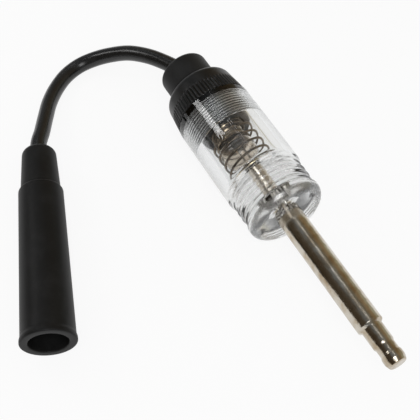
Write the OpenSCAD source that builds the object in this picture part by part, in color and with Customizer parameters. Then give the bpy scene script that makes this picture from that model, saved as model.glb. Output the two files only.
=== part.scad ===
// Ignition coil tester: a clear barrel with lamp and spring, a knurled cap with a lead and boot, and a
// probe rod. Sizes are in millimetres. Along the tester, distances are counted from the barrel's open rim
// towards the tip. The finished part has its origin on the axis at the foot of the probe's terminal, and
// +X points towards the tip.

/* [Barrel] */
// Outside diameter of the barrel
barrel_d = 25.4; // [24:0.1:27]
// Length of the barrel from its rim to its end face
barrel_l = 45.4; // [42:0.1:52]
// Diameter of the lamp chamber
chamber_d = 17; // [16.4:0.1:17.2]
// Depth of the lamp chamber from the rim
chamber_l = 28.8; // [27.5:0.1:31]
// Radius of the corner at the chamber's floor
chamber_corner_r = 1.8; // [0.5:0.1:2.5]
// Pitch of the screw thread between cap and barrel
thread_pitch = 1; // [0.75:0.25:1.5]
// Depth of the thread's grooves
thread_depth = 0.45; // [0.2:0.05:0.6]
// Radial clearance between spigot and barrel
thread_clearance = 0.1; // [0.05:0.01:0.2]
// Chamfer at the barrel's rim
rim_chamfer = 0.5; // [0.2:0.1:1]

/* [Turned grip] */
// Diameter over the crests of the turned grip
grip_d = 24.2; // [23:0.1:25]
// Length of the slope from the barrel down to the grip
grip_slope_l = 2.2; // [1:0.1:3]
// Number of grooves in the grip
grip_grooves = 4; // [3:1:5]
// Distance between the grooves
grip_pitch = 2.35; // [2.2:0.05:2.6]
// Depth of a groove below the crests
groove_depth = 0.55; // [0.3:0.05:0.8]
// Radius of a groove's hollow
groove_r = 1.1; // [0.9:0.05:1.3]
// Length of the flange past the last groove
flange_l = 4.8; // [4:0.1:6]
// Diameter of the flange
flange_d = 24.7; // [24:0.1:25.2]
// Radius of the flange's outer corner
flange_corner_r = 3.3; // [1:0.1:3.6]

/* [Cap] */
// How far the cap's edge stands inside the barrel's outside
cap_inset = 0.15; // [0:0.05:0.5]
// Length of the cap's head
cap_l = 10.7; // [9:0.1:13]
// Taper of the cap's side in degrees
cap_taper = 6.4; // [2:0.2:8]
// Radius of the cap's top edge
cap_corner_r = 2.3; // [1:0.1:3]
// Number of grooves in the knurled band
knurl_count = 62; // [40:1:72]
// Width of the knurled band
knurl_l = 5.3; // [3:0.1:7]
// Depth of the knurl
knurl_depth = 0.38; // [0.2:0.02:0.5]
// Share of the knurl's pitch that half a groove takes
knurl_share = 0.36; // [0.25:0.01:0.45]
// Diameter of the threaded spigot
spigot_d = 17.7; // [17.5:0.1:18.2]
// Length of the spigot
spigot_l = 10; // [8:0.1:11.4]
// Diameter of the spigot's bore
spigot_bore_d = 12.6; // [12.5:0.1:13.6]
// Thickness of the wall between the spigot's bore and the lead
web_t = 2.5; // [1.5:0.1:4]
// Diameter of the boss that carries the sleeve
boss_d = 10; // [8:0.1:12]
// Length of the boss
boss_l = 5.4; // [3:0.1:7]

/* [Sleeve] */
// Diameter of the sleeve where the lead comes out
sleeve_d = 16.35; // [14:0.1:17]
// Length of the sleeve
sleeve_l = 10.6; // [9:0.1:14]
// Radius of the sleeve's outer edge
sleeve_edge_r = 1.5; // [0.5:0.1:2]
// Flare of the sleeve's bore round the lead
sleeve_flare = 1; // [0.6:0.1:1.5]
// Length of that flare
sleeve_flare_l = 3.5; // [2:0.1:5]

/* [Lead] */
// Diameter of the lead
lead_d = 5.2; // [5:0.1:5.4]
// Diameter of the conductor
core_d = 1.9; // [1.6:0.1:2.2]
// Length that the core stands out of the jacket in the boot
core_bare_l = 1.6; // [1:0.1:2.5]
// Clearance round the lead in its bores
lead_clearance = 0.05; // [0.02:0.01:0.1]

/* [Contact screw] */
// Diameter of the screw that bites into the lead
bite_d = 1.9; // [1.6:0.1:2]
// Length of that screw's point in the lead
bite_l = 5.6; // [4:0.1:8]
// Length of its sharpened end
point_l = 1.5; // [1:0.1:2.5]
// Diameter of its head
contact_head_d = 5; // [4:0.1:6]
// Height of its head
contact_head_l = 1.6; // [1:0.1:2]
// Width of the slot in its head
contact_slot_w = 0.8; // [0.6:0.1:1.2]
// Diameter of the washer under it
contact_washer_d = 7; // [6:0.1:9]
// Thickness of that washer
contact_washer_t = 0.6; // [0.4:0.1:1]

/* [Lamp] */
// Outside diameter of the lamp's screw shell
shell_d = 9.5; // [9:0.1:9.6]
// Length of the shell
shell_l = 9.6; // [8.5:0.1:10.5]
// Pitch of the shell's thread
shell_pitch = 1.81; // [1.5:0.01:2]
// Wall of the shell
shell_wall = 0.3; // [0.25:0.01:0.35]
// Half the height of its rolled thread
shell_wave = 0.2; // [0.15:0.01:0.25]
// Length of the solder contact at the lamp's foot
lamp_contact_l = 1.4; // [1:0.1:1.6]
// Length of the insulator above it
insulator_l = 1.8; // [1.5:0.1:2]
// Diameter of the glass
glass_d = 10.9; // [10.4:0.1:11.4]
// Length of the glass beyond the shell
glass_l = 9.6; // [8:0.1:10]
// Thickness of the glass
glass_t = 0.5; // [0.4:0.1:0.8]
// How far the glass neck goes into the shell
glass_seat_l = 4; // [3:0.1:5]
// Diameter of the glass stem
stem_d = 3.2; // [2.5:0.1:4]
// Length of the stem
stem_l = 5.6; // [5:0.1:6]
// Diameter of the two electrode wires
electrode_d = 0.7; // [0.5:0.1:1]
// Distance between the electrode wires
electrode_gap = 2; // [1.8:0.1:2.2]
// Length of the electrode wires
electrode_l = 7; // [6:0.1:7.5]
// How far they are sealed into the stem
electrode_seat_l = 2; // [1.5:0.1:2.5]

/* [Spring] */
// Diameter of the spring's wire
wire_d = 0.7; // [0.5:0.05:0.8]
// Radius of the narrow turns, at the middle of the wire
spring_neck_r = 5.62; // [5.6:0.01:5.7]
// Radius of the wide turns, at the middle of the wire
spring_wide_r = 7.4; // [7:0.05:7.6]
// Rise of a narrow turn
spring_neck_pitch = 1.25; // [1.2:0.05:1.4]
// Rise of a wide turn
spring_wide_pitch = 3.35; // [3:0.05:3.5]

/* [Rod] */
// Diameter of the rod
rod_d = 8; // [7:0.1:9]
// Length of the rod between barrel and terminal
rod_l = 41.3; // [30:0.1:60]
// Length of the rod's knurled root in the barrel
root_l = 7.4; // [5:0.1:9]
// Number of ribs on the root
rib_count = 30; // [20:1:40]
// Depth of the grooves between them
rib_depth = 0.3; // [0.2:0.05:0.4]
// Chamfer at the rod's shoulder
shoulder_chamfer = 0.7; // [0.2:0.1:0.8]
// Diameter of the terminal, the size of a spark plug's nut
terminal_d = 6.35; // [6.2:0.01:6.5]
// Length of the terminal's straight foot
terminal_foot_l = 5.7; // [5:0.1:7]
// Diameter of the terminal's waist
waist_d = 5.7; // [5.2:0.1:5.9]
// Length of the waist between its slopes
waist_l = 2.3; // [1.5:0.1:3]
// Length of the slopes at either end of the waist
waist_slope_l = 0.5; // [0.3:0.1:0.8]
// Length of the terminal's bulb and taper
bulb_l = 3.3; // [2.5:0.1:4]
// Diameter of the terminal's end
terminal_end_d = 5.5; // [5:0.1:5.8]

/* [Rod screw] */
// Diameter of the screw that holds the rod
screw_d = 3; // [2.5:0.1:3.2]
// Diameter of its head
screw_head_d = 5.4; // [5:0.1:6]
// Height of its head
screw_head_l = 2; // [1.5:0.1:2.4]
// Width of the slot in its head
screw_slot_w = 1; // [0.8:0.1:1.2]
// Length of its thread in the rod
screw_grip_l = 6; // [4:0.1:8]
// Diameter of the washer on the chamber's floor
floor_washer_d = 11; // [9:0.1:12]
// Thickness of that washer
floor_washer_t = 0.5; // [0.4:0.1:0.8]

/* [Boot] */
// Length of the boot
boot_l = 67.2; // [62:0.1:72]
// Diameter of the lip at the mouth
lip_d = 16.2; // [15.8:0.1:17]
// Length of the lip
lip_l = 1.6; // [1:0.1:3]
// Radius of the lip's edge
lip_edge_r = 0.4; // [0.2:0.1:0.7]
// Diameter of the boot's body behind the lip
boot_mouth_d = 15.6; // [15:0.1:16]
// Diameter of the boot's body at the step
boot_step_d = 13.7; // [13:0.1:14.5]
// Radius of the step's edge
boot_step_r = 0.9; // [0.5:0.1:1.2]
// Length of the upper section above the step
boot_neck_l = 15.6; // [14:0.1:18]
// Diameter of the upper section at the step
boot_neck_d = 12.2; // [11.5:0.1:13]
// Diameter of the upper section near its end
boot_top_d = 10.8; // [10:0.1:11.5]
// Radius of the boot's top edge
boot_top_r = 2.4; // [1:0.1:2.6]
// Diameter of the bore at the mouth
boot_bore_d = 11.4; // [11:0.1:12]
// Depth of that bore
boot_bore_l = 34; // [32:0.1:36]

/* [Snap socket] */
// Outside diameter of the socket
socket_d = 8.2; // [8:0.1:9]
// Inside diameter of the socket
socket_bore_d = 6.6; // [6.5:0.05:6.8]
// Depth of the socket
socket_l = 11; // [9:0.1:12]
// Thickness of the socket's floor
socket_floor_t = 1; // [0.8:0.1:1.5]
// Width of the slot down the socket's side
slot_w = 1; // [0.6:0.1:1.5]
// Length of the crimp behind the socket
crimp_l = 7; // [5:0.1:8]
// Thickness of the crimp's wall
crimp_t = 0.5; // [0.4:0.1:0.8]
// Diameter of the ring spring's wire
clip_wire_d = 0.6; // [0.4:0.1:0.8]
// Distance from the socket's mouth to its ring spring
clip_place = 2.2; // [1.5:0.1:3]

/* [Hidden] */
$fn = 64;
eps = 0.01;

// Colours, as the photograph shows them
rubber = [0.11, 0.11, 0.11];
moulded = [0.08, 0.08, 0.08];
acrylic = [0.85, 0.88, 0.9, 0.35];
glass_tint = [0.6, 0.57, 0.53, 0.6];
steel = [0.66, 0.64, 0.6];
nickel = [0.75, 0.72, 0.65];
brass = [0.75, 0.6, 0.3];
copper = [0.72, 0.45, 0.3];

// Clearances between pieces that sit in or on each other
seat_gap = 0.05;
sleeve_gap = 0.05;
screw_clearance = 0.1;
neck_clearance = 0.1;
loop_clearance = 0.25;
clip_play = 0.2;
clip_room = 0.6;
socket_play = 0.5;

// Small edges
edge_chamfer = 0.5;
head_edge_r = 0.5;

// Places along the tester
shoulder_x = barrel_l + rod_l;
neck_x = barrel_l - flange_l;
last_groove_x = neck_x - 0.8 * grip_pitch;
grip_x = last_groove_x - (grip_grooves - 1.5) * grip_pitch;
full_l = grip_x - grip_slope_l;
floor_x = chamber_l;
thread_runout = 0.4;
thread_start = 0.6;
thread_l = spigot_l + thread_runout;
cap_d = barrel_d - 2 * cap_inset;
cap_top_x = -cap_l;
boss_end_x = -cap_l - boss_l;
sleeve_end_x = -cap_l - sleeve_l;
contact_x = contact_washer_t + contact_head_l + seat_gap;
shell_x = contact_x + lamp_contact_l + insulator_l;
shell_end_x = shell_x + shell_l;
glass_x = shell_end_x - glass_seat_l;
stem_x = glass_x + glass_t + seat_gap;
electrode_x = stem_x + stem_l - electrode_seat_l + seat_gap;
thread_r = spigot_d / 2 + thread_clearance;
lead_bore_r = lead_d / 2 + lead_clearance;
core_bore_r = core_d / 2 + lead_clearance;
root_x = barrel_l - root_l;
wire_x = floor_x - floor_washer_t - seat_gap - wire_d / 2;
head_x = wire_x - wire_d / 2 - seat_gap;
screw_hole_r = screw_d / 2 + screw_clearance;
bite_hole_r = bite_d / 2 + screw_clearance;

// The boot lies beside the tester, with its lip on the same table as the barrel. Distances u are counted
// from its mouth.
boot_angle = -20.9;
boot_mouth = [45.6, -78.1, -barrel_d / 2 + lip_d / 2];
boot_way = [-cos(boot_angle), -sin(boot_angle), 0];
socket_u = boot_bore_l + socket_play;
crimp_u = socket_u + socket_l + socket_floor_t;
crimp_end_u = crimp_u + crimp_l;
jacket_end_u = crimp_u + core_bare_l;
function in_boot(u) = boot_mouth + u * boot_way;

// The lead's route, from the screw in the cap, in a loose bow that rests on the table, to the socket in
// the boot
lead_start_x = -web_t - seat_gap;
bite_end_x = -web_t - bite_l;
free_route = [
    [-18, 0, 0], [-23, -1, -0.1], [-29, -3.8, -0.5], [-34.5, -7, -1.3], [-40, -11, -3], [-44.5, -15.6, -5.6],
    [-47.6, -20.6, -7.9], [-48.8, -26.2, -9.5], [-47.2, -32, -10], [-43.2, -37.4, -9.7], [-37.6, -42.2, -8.6],
    [-31, -46.3, -7.1], [-24.8, -49.9, -5.6]
];
boot_route = [in_boot(boot_l + 2.6), in_boot(boot_l - 4), in_boot(boot_l - 10)];
jacket_route = concat([[lead_start_x, 0, 0], [bite_end_x - seat_gap, 0, 0]], free_route, boot_route,
                      [in_boot(jacket_end_u)]);
core_route = concat([[bite_end_x - seat_gap, 0, 0]], free_route, boot_route,
                    [in_boot(jacket_end_u), in_boot(crimp_u + seat_gap)]);

// Points of an arc about c, from angle a to angle b
function arc(c, r, a, b, n = 8) = [for (i = [0:n]) let (t = a + (b - a) * i / n) c + r * [cos(t), sin(t)]];

// Things placed along the tester, and along the boot from its mouth
module along_tester(x = 0) {
    translate([x - shoulder_x, 0, 0]) rotate([0, 90, 0]) children();
}

module along_boot(u = 0) {
    translate(in_boot(u) - [shoulder_x, 0, 0])
        rotate([0, 0, boot_angle + 180]) rotate([0, 90, 0]) children();
}

module ring(r_in, r_out, length) {
    difference() {
        cylinder(h = length, r = r_out);
        translate([0, 0, -eps]) cylinder(h = length + 2 * eps, r = r_in);
    }
}

// A smooth curve through points, as closely spaced stations
function curve_point(a, b, c, d, t) =
    0.5 * ((2 * b) + (c - a) * t + (2 * a - 5 * b + 4 * c - d) * t * t + (3 * b - a - 3 * c + d) * t * t * t);
function before(p) = 2 * p[0] - p[1];
function after(p) = 2 * p[len(p) - 1] - p[len(p) - 2];
function curve(p, steps) = let (q = concat([before(p)], p, [after(p)])) concat(
    [for (i = [1:len(p) - 1], s = [0:steps - 1]) curve_point(q[i - 1], q[i], q[i + 1], q[i + 2], s / steps)],
    [p[len(p) - 1]]);

// Rings of points about a line of stations, each ring square to the line
function unit(v) = v / norm(v);
function heading(p, i) = unit(p[min(i + 1, len(p) - 1)] - p[max(i - 1, 0)]);
function ring_points(p, i, r, sides, up) =
    let (ahead = heading(p, i), side = unit(cross(ahead, up)), over = cross(side, ahead))
    [for (k = [0:sides - 1]) p[i] + r * (cos(360 * k / sides) * side + sin(360 * k / sides) * over)];
function tube_points(p, r, sides, up) = [for (i = [0:len(p) - 1]) each ring_points(p, i, r, sides, up)];

// Triangles between two rings whose first points are a and b
function band(a, b, sides) = [for (k = [0:sides - 1]) let (n = (k + 1) % sides)
    each [[a + k, b + k, b + n], [a + k, b + n, a + n]]];
function cap_face(a, sides) = [for (k = [1:sides - 2]) [a, a + k, a + k + 1]];
function turned(faces) = [for (f = faces) [f[2], f[1], f[0]]];
function tube_faces(rings, sides) = turned(concat(
    cap_face(0, sides),
    [for (i = [0:rings - 2]) each band(i * sides, (i + 1) * sides, sides)],
    turned(cap_face((rings - 1) * sides, sides))));

// A solid tube along a line of stations
module solid_tube(p, r, sides, up = [0, 0, 1]) {
    polyhedron(tube_points(p, r, sides, up), tube_faces(len(p), sides));
}

// A tube with a bore, open at both ends
module hollow_tube(p, r_out, r_in, sides, up = [0, 0, 1]) {
    n = len(p);
    inner = n * sides;
    skin = [for (i = [0:n - 2]) each band(i * sides, (i + 1) * sides, sides)];
    lining = [for (i = [0:n - 2]) each turned(band(inner + i * sides, inner + (i + 1) * sides, sides))];
    ends = concat(turned(band(0, inner, sides)), band(inner - sides, inner + inner - sides, sides));
    polyhedron(concat(tube_points(p, r_out, sides, up), tube_points(p, r_in, sides, up)),
               turned(concat(skin, lining, ends)));
}

// Rings at a thread's pitch, as V shapes in a turned profile. They stand for the thread, which a turn about
// the axis then leaves as it is, and their feet overlap the plain wall.
module thread_profile(r, depth, pitch, from, to) {
    foot_r = r - sign(depth) * 0.05;
    half_w = 0.42 * pitch;
    for (x = [from + pitch / 2:pitch:to - pitch / 2 + eps])
        polygon([[foot_r, x - half_w], [r + depth, x], [foot_r, x + half_w]]);
}

// Boot: a long tapered body with a lip, a rounded step and a narrower upper section
module boot_outline() {
    lip_r = lip_d / 2;
    body_end = boot_l - boot_neck_l;
    polygon(concat(
        [[0, 0], [lip_r - lip_edge_r, 0]],
        arc([lip_r - lip_edge_r, lip_edge_r], lip_edge_r, -90, 0, 4),
        [[lip_r, 0.6 * lip_l], [boot_mouth_d / 2, 1.5 * lip_l], [boot_step_d / 2, body_end - boot_step_r]],
        arc([boot_step_d / 2 - boot_step_r, body_end - boot_step_r], boot_step_r, 0, 80, 5),
        [[boot_neck_d / 2, body_end + boot_step_r / 2], [boot_top_d / 2, boot_l - boot_top_r]],
        arc([boot_top_d / 2 - boot_top_r, boot_l - boot_top_r], boot_top_r, 0, 90),
        [[0, boot_l]]));
}

module boot() {
    color(rubber) along_boot() difference() {
        rotate_extrude() boot_outline();
        translate([0, 0, -eps]) cylinder(h = boot_bore_l + eps, d = boot_bore_d);
        translate([0, 0, -eps]) cylinder(h = socket_u + 2 * clip_place + eps, d = clip_room_d);
        translate([0, 0, -eps]) cylinder(h = crimp_end_u + socket_play + eps, d = socket_d + 2 * sleeve_gap);
        translate([0, 0, -eps]) cylinder(h = boot_l + 2 * eps, r = lead_bore_r);
    }
}

// Snap socket: a rolled, slotted sleeve with a groove for its ring spring, a floor and a crimp round the lead
clip_u = socket_u + clip_place;
clip_seat_d = socket_d - clip_wire_d;
clip_room_d = clip_seat_d + 2 * clip_wire_d + clip_room;

module boot_terminal() {
    crimp_r = lead_bore_r + crimp_t;
    color(brass) along_boot(socket_u) difference() {
        union() {
            ring(socket_bore_d / 2, socket_d / 2, socket_l);
            translate([0, 0, socket_l]) ring(core_bore_r, socket_d / 2, socket_floor_t);
            translate([0, 0, crimp_u - socket_u]) ring(core_bore_r, crimp_r, core_bare_l);
            translate([0, 0, jacket_end_u - socket_u]) ring(lead_bore_r, crimp_r, crimp_end_u - jacket_end_u);
        }
        translate([0, -slot_w / 2, -eps]) cube([socket_d, slot_w, socket_l - socket_floor_t]);
        translate([0, 0, clip_place - clip_wire_d / 2 - clip_play / 2])
            ring(clip_seat_d / 2, socket_d, clip_wire_d + clip_play);
    }
}

module terminal_clip() {
    opening = 40;
    color(steel) along_boot(clip_u) rotate([0, 0, opening / 2]) rotate_extrude(angle = 360 - opening)
        translate([clip_seat_d / 2 + clip_wire_d / 2 + seat_gap, 0]) circle(d = clip_wire_d, $fn = 24);
}

// Lead: jacket and conductor on one route
module lead() {
    color(rubber) translate([-shoulder_x, 0, 0])
        hollow_tube(curve(jacket_route, 2), lead_d / 2, core_bore_r, 12);
}

module lead_core() {
    color(copper) translate([-shoulder_x, 0, 0]) solid_tube(curve(core_route, 2), core_d / 2, 12);
}

// Sleeve on the cap's boss, with a flared bore where the lead bends away
module strain_relief() {
    r = sleeve_d / 2;
    color(rubber) along_tester(sleeve_end_x) difference() {
        rotate_extrude() polygon(concat(
            [[0, 0]],
            arc([r - sleeve_edge_r, sleeve_edge_r], sleeve_edge_r, -90, 0),
            [[r, sleeve_l], [0, sleeve_l]]));
        translate([0, 0, sleeve_l - boss_l - seat_gap]) cylinder(h = sleeve_l, d = boss_d + 2 * sleeve_gap);
        translate([0, 0, -eps]) cylinder(h = sleeve_l, r = lead_bore_r);
        translate([0, 0, -eps])
            cylinder(h = sleeve_flare_l, r1 = lead_bore_r + sleeve_flare, r2 = lead_bore_r);
    }
}

// Cap: tapered head with a rounded top edge, a knurled band, a boss and a hollow threaded spigot
module cap_outline() {
    r = cap_d / 2;
    corner_x = -(cap_l - cap_corner_r);
    corner_c = r + corner_x * tan(cap_taper) - cap_corner_r / cos(cap_taper);
    spigot_r = spigot_d / 2;
    difference() {
        polygon(concat(
            [[0, boss_end_x], [boss_d / 2 - edge_chamfer, boss_end_x],
             [boss_d / 2, boss_end_x + edge_chamfer], [boss_d / 2, cap_top_x]],
            arc([corner_c, corner_x], cap_corner_r, -90, -cap_taper),
            [[r, 0], [spigot_r, 0], [spigot_r, spigot_l - edge_chamfer], [spigot_r - edge_chamfer, spigot_l],
             [0, spigot_l]]));
        thread_profile(spigot_r, -thread_depth, thread_pitch, thread_start, spigot_l - thread_start);
    }
}

module knurl_groove() {
    over = 0.3;
    half_w = knurl_share * PI * cap_d / knurl_count * (1 + over / knurl_depth);
    translate([cap_d / 2, 0, 0]) rotate([0, cap_taper, 0]) translate([0, 0, -knurl_l])
        linear_extrude(knurl_l + 1) polygon([[-knurl_depth, 0], [over, -half_w], [over, half_w]]);
}

module cap() {
    color(moulded) along_tester() difference() {
        rotate_extrude() cap_outline();
        for (k = [0:knurl_count - 1]) rotate([0, 0, 360 * k / knurl_count]) knurl_groove();
        cylinder(h = spigot_l + eps, d = spigot_bore_d);
        translate([0, 0, -web_t - eps]) cylinder(h = web_t + 2 * eps, r = bite_hole_r);
        translate([0, 0, boss_end_x - eps]) cylinder(h = -web_t - boss_end_x + eps, r = lead_bore_r);
    }
}

// Screw into the lead's core, and its washer
module slotted_head(d, length, slot) {
    difference() {
        rotate_extrude() polygon(concat(
            [[0, 0], [d / 2, 0]],
            arc([d / 2 - head_edge_r, length - head_edge_r], head_edge_r, 0, 90, 5),
            [[0, length]]));
        translate([-d, -slot / 2, 0.55 * length]) cube([2 * d, slot, length]);
    }
}

module lead_screw() {
    point_x = bite_end_x + point_l;
    color(nickel) along_tester() union() {
        translate([0, 0, contact_washer_t]) slotted_head(contact_head_d, contact_head_l, contact_slot_w);
        translate([0, 0, point_x]) cylinder(h = contact_washer_t - point_x + eps, d = bite_d);
        translate([0, 0, bite_end_x]) cylinder(h = point_l, d1 = 0.3, d2 = bite_d, $fn = 48);
    }
}

module contact_washer() {
    color(brass) along_tester() ring(bite_hole_r, contact_washer_d / 2, contact_washer_t);
}

// Lamp: solder contact, insulator, threaded shell, glass, stem and electrodes
foot_r = shell_d / 2 - 1.9;
dot_r = 0.9;

module lamp_contact() {
    color(nickel) along_tester(contact_x) rotate_extrude() polygon(concat(
        arc([dot_r, dot_r], dot_r, -90, 0, 6),
        [[2 * dot_r, lamp_contact_l - 0.2], [1.5 * dot_r, lamp_contact_l], [0, lamp_contact_l], [0, 0]]));
}

module lamp_insulator() {
    color(moulded) along_tester(contact_x + lamp_contact_l) rotate_extrude() polygon([
        [0, 0], [foot_r - edge_chamfer, 0], [foot_r, edge_chamfer],
        [shell_d / 2 - 2 * shell_wall, insulator_l], [0, insulator_l]]);
}

module lamp_shell() {
    r = shell_d / 2 - shell_wave;
    turns = floor((shell_l - 1.3 * shell_pitch) / shell_pitch);
    wave = [for (i = [0:8 * turns]) [r - shell_wave * cos(45 * i), shell_pitch * (1 / 3 + i / 8)]];
    rim = [[r, shell_l - shell_pitch / 2], [glass_d / 2 - shell_wall, shell_l]];
    skirt = [[r - shell_wave, 0], each wave, each rim];
    color(brass) along_tester(shell_x) rotate_extrude() polygon(concat(
        skirt,
        [for (i = [len(skirt) - 1:-1:0]) [skirt[i][0] - shell_wall, skirt[i][1] + (i == 0 ? shell_wall : 0)]],
        [[dot_r, shell_wall], [dot_r, 0]]));
}

// The glass is one blown envelope: a neck in the shell, a shoulder and a domed end
module glass_outline(inset) {
    neck_r = shell_d / 2 - 2 * shell_wave - shell_wall - neck_clearance;
    r = glass_d / 2 - inset;
    dome = 0.85 * r;
    dome_x = glass_seat_l + glass_l - inset - dome;
    polygon(concat(
        [[0, inset], [neck_r - inset, inset], [neck_r - inset, 0.85 * glass_seat_l],
         [r - 0.9, 1.3 * glass_seat_l], [r - 0.2, 1.55 * glass_seat_l]],
        [for (a = [0:10:90]) [r * cos(a), dome_x + dome * sin(a)]]));
}

module lamp_glass() {
    color(glass_tint) along_tester(glass_x) difference() {
        rotate_extrude() glass_outline(0);
        rotate_extrude() glass_outline(glass_t);
    }
}

// The stem flares at its foot, and its rounded end holds the two wires
module lamp_stem() {
    r = stem_d / 2;
    color(glass_tint) along_tester(stem_x) difference() {
        rotate_extrude() polygon([[0, 0], [1.4 * r, 0], [r, 0.75 * r], [r, stem_l - edge_chamfer],
                                  [r - edge_chamfer, stem_l], [0, stem_l]]);
        for (s = [-1, 1]) translate([0, s * electrode_gap / 2, stem_l - electrode_seat_l])
            cylinder(h = stem_l, d = electrode_d + 2 * seat_gap);
    }
}

module lamp_electrodes() {
    color(steel) for (s = [-1, 1]) along_tester(electrode_x) translate([0, s * electrode_gap / 2, 0])
        cylinder(h = electrode_l, d = electrode_d, $fn = 24);
}

// Spring: one wire, narrow turns that hold the lamp's shell, wide turns below, and a last turn drawn in
// under the head of the rod's screw. n counts turns from the first one that faces up beside the boot.
front_angle = 112.8;
first_turn_x = 8.35;
neck_turns = 2;
n_start = -0.55;
n_end = 8.1;
n_draw_in = 6.9;
widening_turns = 0.9;
drawing_turns = 0.5;
ramp_softness = 0.1;
function ramp(u, soft) = (u + sqrt(u * u + soft)) / 2;
function smooth(u) = let (t = min(max(u, 0), 1)) t * t * (3 - 2 * t);
function wire_rise(n) = first_turn_x + spring_neck_pitch * n
    + (spring_wide_pitch - spring_neck_pitch) * ramp(n - neck_turns, ramp_softness);
function wire_height(n) = min(wire_rise(n), wire_x);
loop_r = screw_d / 2 + wire_d / 2 + loop_clearance;
function wire_r(n) = n < n_draw_in
    ? spring_neck_r + (spring_wide_r - spring_neck_r) * smooth((n - neck_turns) / widening_turns)
    : loop_r + (spring_wide_r - loop_r) * (1 - smooth((n - n_draw_in) / drawing_turns));
stations = 8;
wire_line = [for (i = [0:round(stations * (n_end - n_start))])
    let (n = n_start + i / stations, a = front_angle + 360 * n)
    [wire_height(n), wire_r(n) * cos(a), wire_r(n) * sin(a)]];

// The least gap of the wire to itself, from stations that are half a turn or more apart
function spring_gap() = min([for (i = [0:len(wire_line) - 1], j = [i + stations / 2 + 1:1:len(wire_line) - 1])
    norm(wire_line[i] - wire_line[j])]) - wire_d;
echo(spring_least_gap_to_itself = spring_gap());

module spring() {
    color(steel) translate([-shoulder_x, 0, 0]) solid_tube(wire_line, wire_d / 2, 6, [1, 0, 0]);
}

// Barrel: thread and chamber inside, turned grip and rounded flange outside
module groove(x, crest_r, depth) {
    translate([crest_r - depth + groove_r, x]) circle(groove_r);
}

module chamber_profile() {
    r = chamber_d / 2;
    c = chamber_corner_r;
    square([thread_r, thread_l]);
    thread_profile(thread_r, thread_depth, thread_pitch, thread_start, thread_l - thread_runout);
    square([r, chamber_l - c]);
    square([r - c, chamber_l]);
    translate([r - c, chamber_l - c]) circle(c);
    square([screw_hole_r, barrel_l + eps]);
    translate([0, root_x]) square([rod_d / 2 + seat_gap, root_l + eps]);
}

module barrel_profile() {
    r = barrel_d / 2;
    crest_r = grip_d / 2;
    flange_r = flange_d / 2;
    slope = [for (t = [0:0.2:1]) [r + (crest_r - r) * smooth(t), full_l + t * grip_slope_l]];
    difference() {
        polygon(concat(
            [[0, 0], [r, 0]],
            slope,
            [[crest_r, neck_x], [flange_r, neck_x], [flange_r, barrel_l], [0, barrel_l]]));
        translate([r, 0]) rotate(45) square(rim_chamfer * sqrt(2), center = true);
        for (k = [0:grip_grooves - 2]) groove(last_groove_x - k * grip_pitch, crest_r, groove_depth);
        groove(neck_x, crest_r, groove_depth);
        translate([flange_r - flange_corner_r, barrel_l - flange_corner_r]) difference() {
            square(flange_corner_r + 1);
            circle(flange_corner_r);
        }
        chamber_profile();
    }
}

module barrel() {
    color(acrylic) along_tester() rotate_extrude() barrel_profile();
}

// Screw and washer on the chamber's floor
module rod_screw() {
    color(nickel) along_tester(head_x) union() {
        rotate([180, 0, 0]) slotted_head(screw_head_d, screw_head_l, screw_slot_w);
        translate([0, 0, -eps]) cylinder(h = root_x + screw_grip_l - head_x, d = screw_d);
    }
}

module rod_washer() {
    color(brass) along_tester(floor_x - floor_washer_t)
        ring(screw_hole_r, floor_washer_d / 2, floor_washer_t);
}

// Rod: knurled root, plain shaft, shoulder and the snap terminal turned on its end
module rod_profile() {
    r = rod_d / 2;
    foot_x = shoulder_x + terminal_foot_l;
    waist_x = foot_x + waist_slope_l;
    bulb_x = waist_x + waist_l + waist_slope_l;
    end_x = bulb_x + bulb_l;
    end_edge_r = 0.4;
    polygon(concat(
        [[0, root_x + root_l], [r, barrel_l], [r, shoulder_x - shoulder_chamfer],
         [r - shoulder_chamfer, shoulder_x], [terminal_d / 2, shoulder_x], [terminal_d / 2, foot_x],
         [waist_d / 2, waist_x], [waist_d / 2, waist_x + waist_l], [terminal_d / 2 - 0.1, bulb_x],
         [terminal_d / 2, bulb_x + 0.1 * bulb_l], [terminal_d / 2, bulb_x + 0.5 * bulb_l]],
        arc([terminal_end_d / 2 - end_edge_r, end_x - end_edge_r], end_edge_r, 10, 90, 5),
        [[0, end_x]]));
}

module rod() {
    crest_r = rod_d / 2 - seat_gap;
    tap_l = screw_grip_l + 1;
    root_overlap = 0.5;
    color(steel) along_tester() difference() {
        union() {
            rotate_extrude() rod_profile();
            translate([0, 0, root_x]) linear_extrude(root_l + root_overlap)
                polygon([for (k = [0:2 * rib_count - 1]) let (a = 180 * k / rib_count)
                    (crest_r - (k % 2) * rib_depth) * [cos(a), sin(a)]]);
        }
        translate([0, 0, root_x - eps]) cylinder(h = tap_l, d = screw_d + 2 * seat_gap);
    }
}

boot();
boot_terminal();
terminal_clip();
lead();
lead_core();
strain_relief();
cap();
lead_screw();
contact_washer();
lamp_contact();
lamp_insulator();
lamp_shell();
lamp_glass();
lamp_stem();
lamp_electrodes();
spring();
barrel();
rod_screw();
rod_washer();
rod();
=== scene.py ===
"""Ignition coil tester on a pale table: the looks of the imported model.

Lengths are written in millimetres. Along the tester, distances are counted from the barrel's open rim
towards the tip, as in the part's source, and the row frame's origin lies at the probe's shoulder.
"""
from __future__ import annotations

import logging
import math
from dataclasses import dataclass, field
from enum import Enum
from typing import Callable, Iterable, Mapping, Sequence

import bmesh
import bpy
from mathutils import Matrix, Vector, noise

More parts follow.
